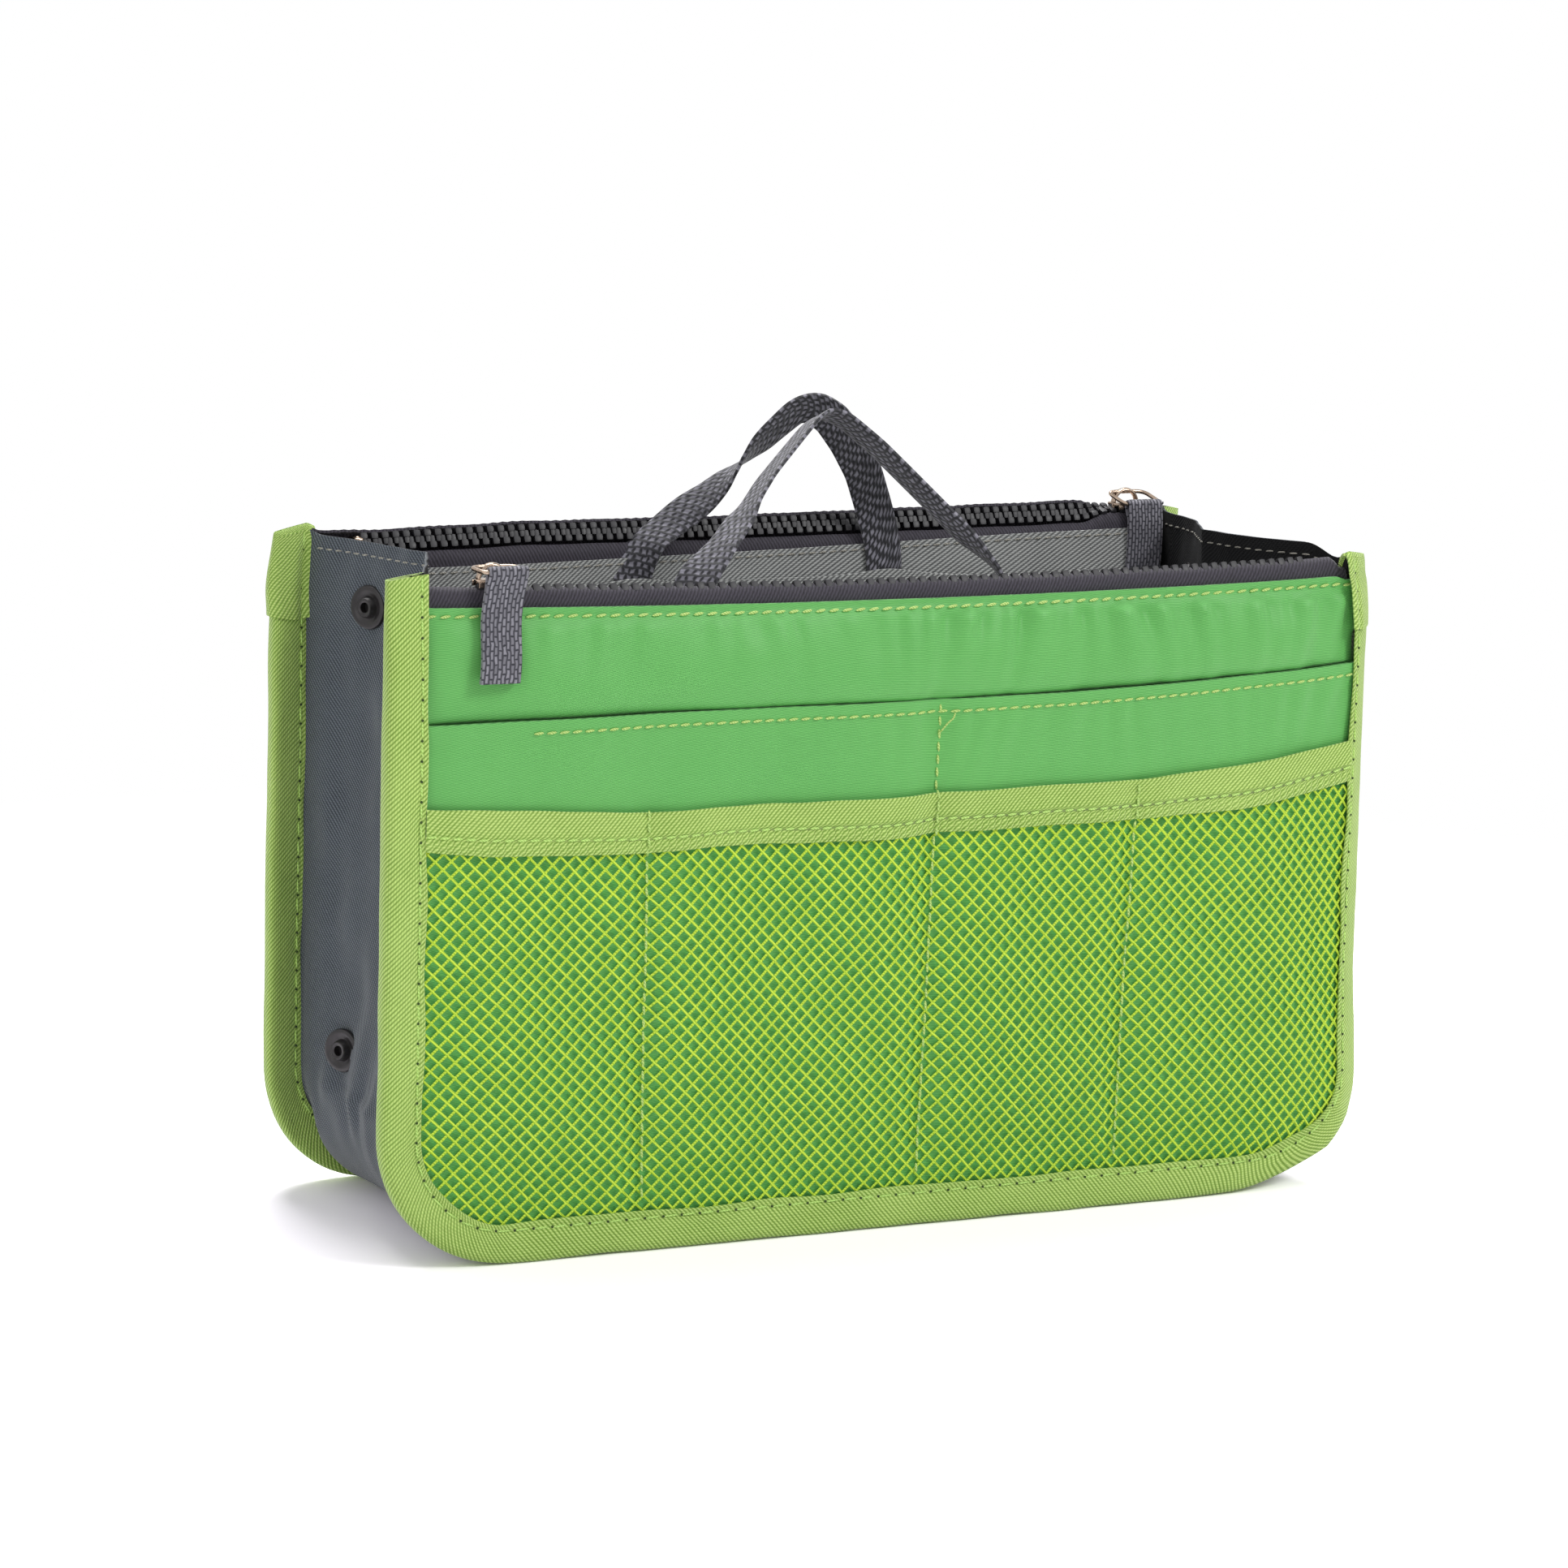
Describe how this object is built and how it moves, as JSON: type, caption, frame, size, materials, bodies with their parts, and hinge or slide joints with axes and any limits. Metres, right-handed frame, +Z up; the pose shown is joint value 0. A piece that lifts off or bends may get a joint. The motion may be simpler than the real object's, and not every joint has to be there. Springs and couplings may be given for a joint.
{
  "type": "cosmetic organizer bag",
  "caption": "Soft handbag organizer: zipped front and rear pouches with net and slip pockets, bound to a folding gusset, open compartment between, webbing handles.",
  "frame": {"origin": "centre of the flat underside of the gusset, on the surface that the bag stands on", "axes": "+X along the bag to its right end, +Y from the front pouch to the rear one, +Z up"},
  "size_m": [0.2858, 0.0979, 0.2182],
  "materials": {
    "lime_binding": "twill tape, matte",
    "lime_net": "diamond mesh, slight sheen",
    "green_nylon": "satin nylon, padded",
    "white_padding": "soft wadding",
    "grey_lining": "diagonal twill",
    "grey_gusset": "fine diagonal twill",
    "charcoal_tape": "woven zip tape",
    "charcoal_webbing": "coarse woven webbing",
    "black_teeth": "moulded, slight gloss",
    "zip_metal": "bright plated, warm tint",
    "snap_metal": "black enamel, satin"
  },
  "bodies": {
    "root": {"gusset": "grey_gusset", "rear_binding": "lime_binding", "rear_net_band": "lime_binding", "rear_net_pocket": "lime_net", "rear_slip_pocket": "green_nylon", "rear_panel": "green_nylon", "rear_padding": "white_padding", "rear_inner_wall": "grey_lining", "rear_inner_pocket": "grey_lining", "rear_outer_zip_tape": "charcoal_tape", "rear_inner_zip_tape": "charcoal_tape", "rear_outer_teeth": "black_teeth", "rear_inner_teeth": "black_teeth", "rear_closed_end_stop": "zip_metal", "rear_open_end_stop": "zip_metal", "rear_handle_first_tail": "charcoal_webbing", "rear_handle_second_tail": "charcoal_webbing"},
    "front_pouch": {"front_binding": "lime_binding", "front_net_band": "lime_binding", "front_net_pocket": "lime_net", "front_slip_pocket": "green_nylon", "front_panel": "green_nylon", "front_padding": "white_padding", "front_inner_wall": "grey_lining", "front_inner_pocket": "grey_lining", "front_outer_zip_tape": "charcoal_tape", "front_inner_zip_tape": "charcoal_tape", "front_outer_teeth": "black_teeth", "front_inner_teeth": "black_teeth", "front_closed_end_stop": "zip_metal", "front_open_end_stop": "zip_metal", "front_handle_first_tail": "charcoal_webbing", "front_handle_second_tail": "charcoal_webbing"},
    "front_slider": {"front_slider": "zip_metal"},
    "front_pull": {"front_pull_ring": "zip_metal", "front_pull_tab": "charcoal_webbing"},
    "front_handle": {"front_handle": "charcoal_webbing"},
    "rear_slider": {"rear_slider": "zip_metal"},
    "rear_pull": {"rear_pull_ring": "zip_metal", "rear_pull_tab": "charcoal_webbing"},
    "rear_handle": {"rear_handle": "charcoal_webbing"},
    "rear_snaps": {"left_upper_stud": "snap_metal", "left_lower_stud": "snap_metal", "right_upper_stud": "snap_metal", "right_lower_stud": "snap_metal"},
    "front_snaps": {"left_upper_socket": "snap_metal", "left_lower_socket": "snap_metal", "right_upper_socket": "snap_metal", "right_lower_socket": "snap_metal"}
  },
  "joints": [
    {"name": "depth_fold", "type": "slide", "parent": "root", "child": "front_pouch", "axis": [0, 1, 0], "range_m": [0, 0.038], "deforming": ["gusset"]},
    {"name": "rear_snap_shift", "type": "slide", "parent": "root", "child": "rear_snaps", "axis": [0, 1, 0], "range_m": [0, 0.0105]},
    {"name": "front_snap_shift", "type": "slide", "parent": "root", "child": "front_snaps", "axis": [0, 1, 0], "range_m": [0, 0.0276]},
    {"name": "front_zip", "type": "slide", "parent": "front_pouch", "child": "front_slider", "axis": [1, 0, 0], "range_m": [0, 0.226]},
    {"name": "front_pull_swing", "type": "hinge", "parent": "front_slider", "child": "front_pull", "pos_m": [-0.113, -0.0407, 0.1815], "axis": [1, 0, 0], "range_deg": [-150, 0]},
    {"name": "rear_zip", "type": "slide", "parent": "root", "child": "rear_slider", "axis": [1, 0, 0], "range_m": [-0.226, 0], "deforming": ["rear_pull_tab"]},
    {"name": "rear_pull_swing", "type": "hinge", "parent": "rear_slider", "child": "rear_pull", "pos_m": [0.113, 0.0407, 0.186], "axis": [1, 0, 0], "range_deg": [-150, 0]},
    {"name": "front_handle_fall", "type": "hinge", "parent": "front_pouch", "child": "front_handle", "pos_m": [-0.0083, -0.0351, 0.18085], "axis": [1, 0, 0], "range_deg": [0, 85]},
    {"name": "rear_handle_fall", "type": "hinge", "parent": "root", "child": "rear_handle", "pos_m": [-0.0083, 0.0351, 0.18085], "axis": [1, 0, 0], "range_deg": [-85, 0]}
  ],
  "couplings": [
    {"joint": "rear_snap_shift", "follows": "depth_fold", "ratio": 0.27483},
    {"joint": "front_snap_shift", "follows": "depth_fold", "ratio": 0.72517}
  ]
}
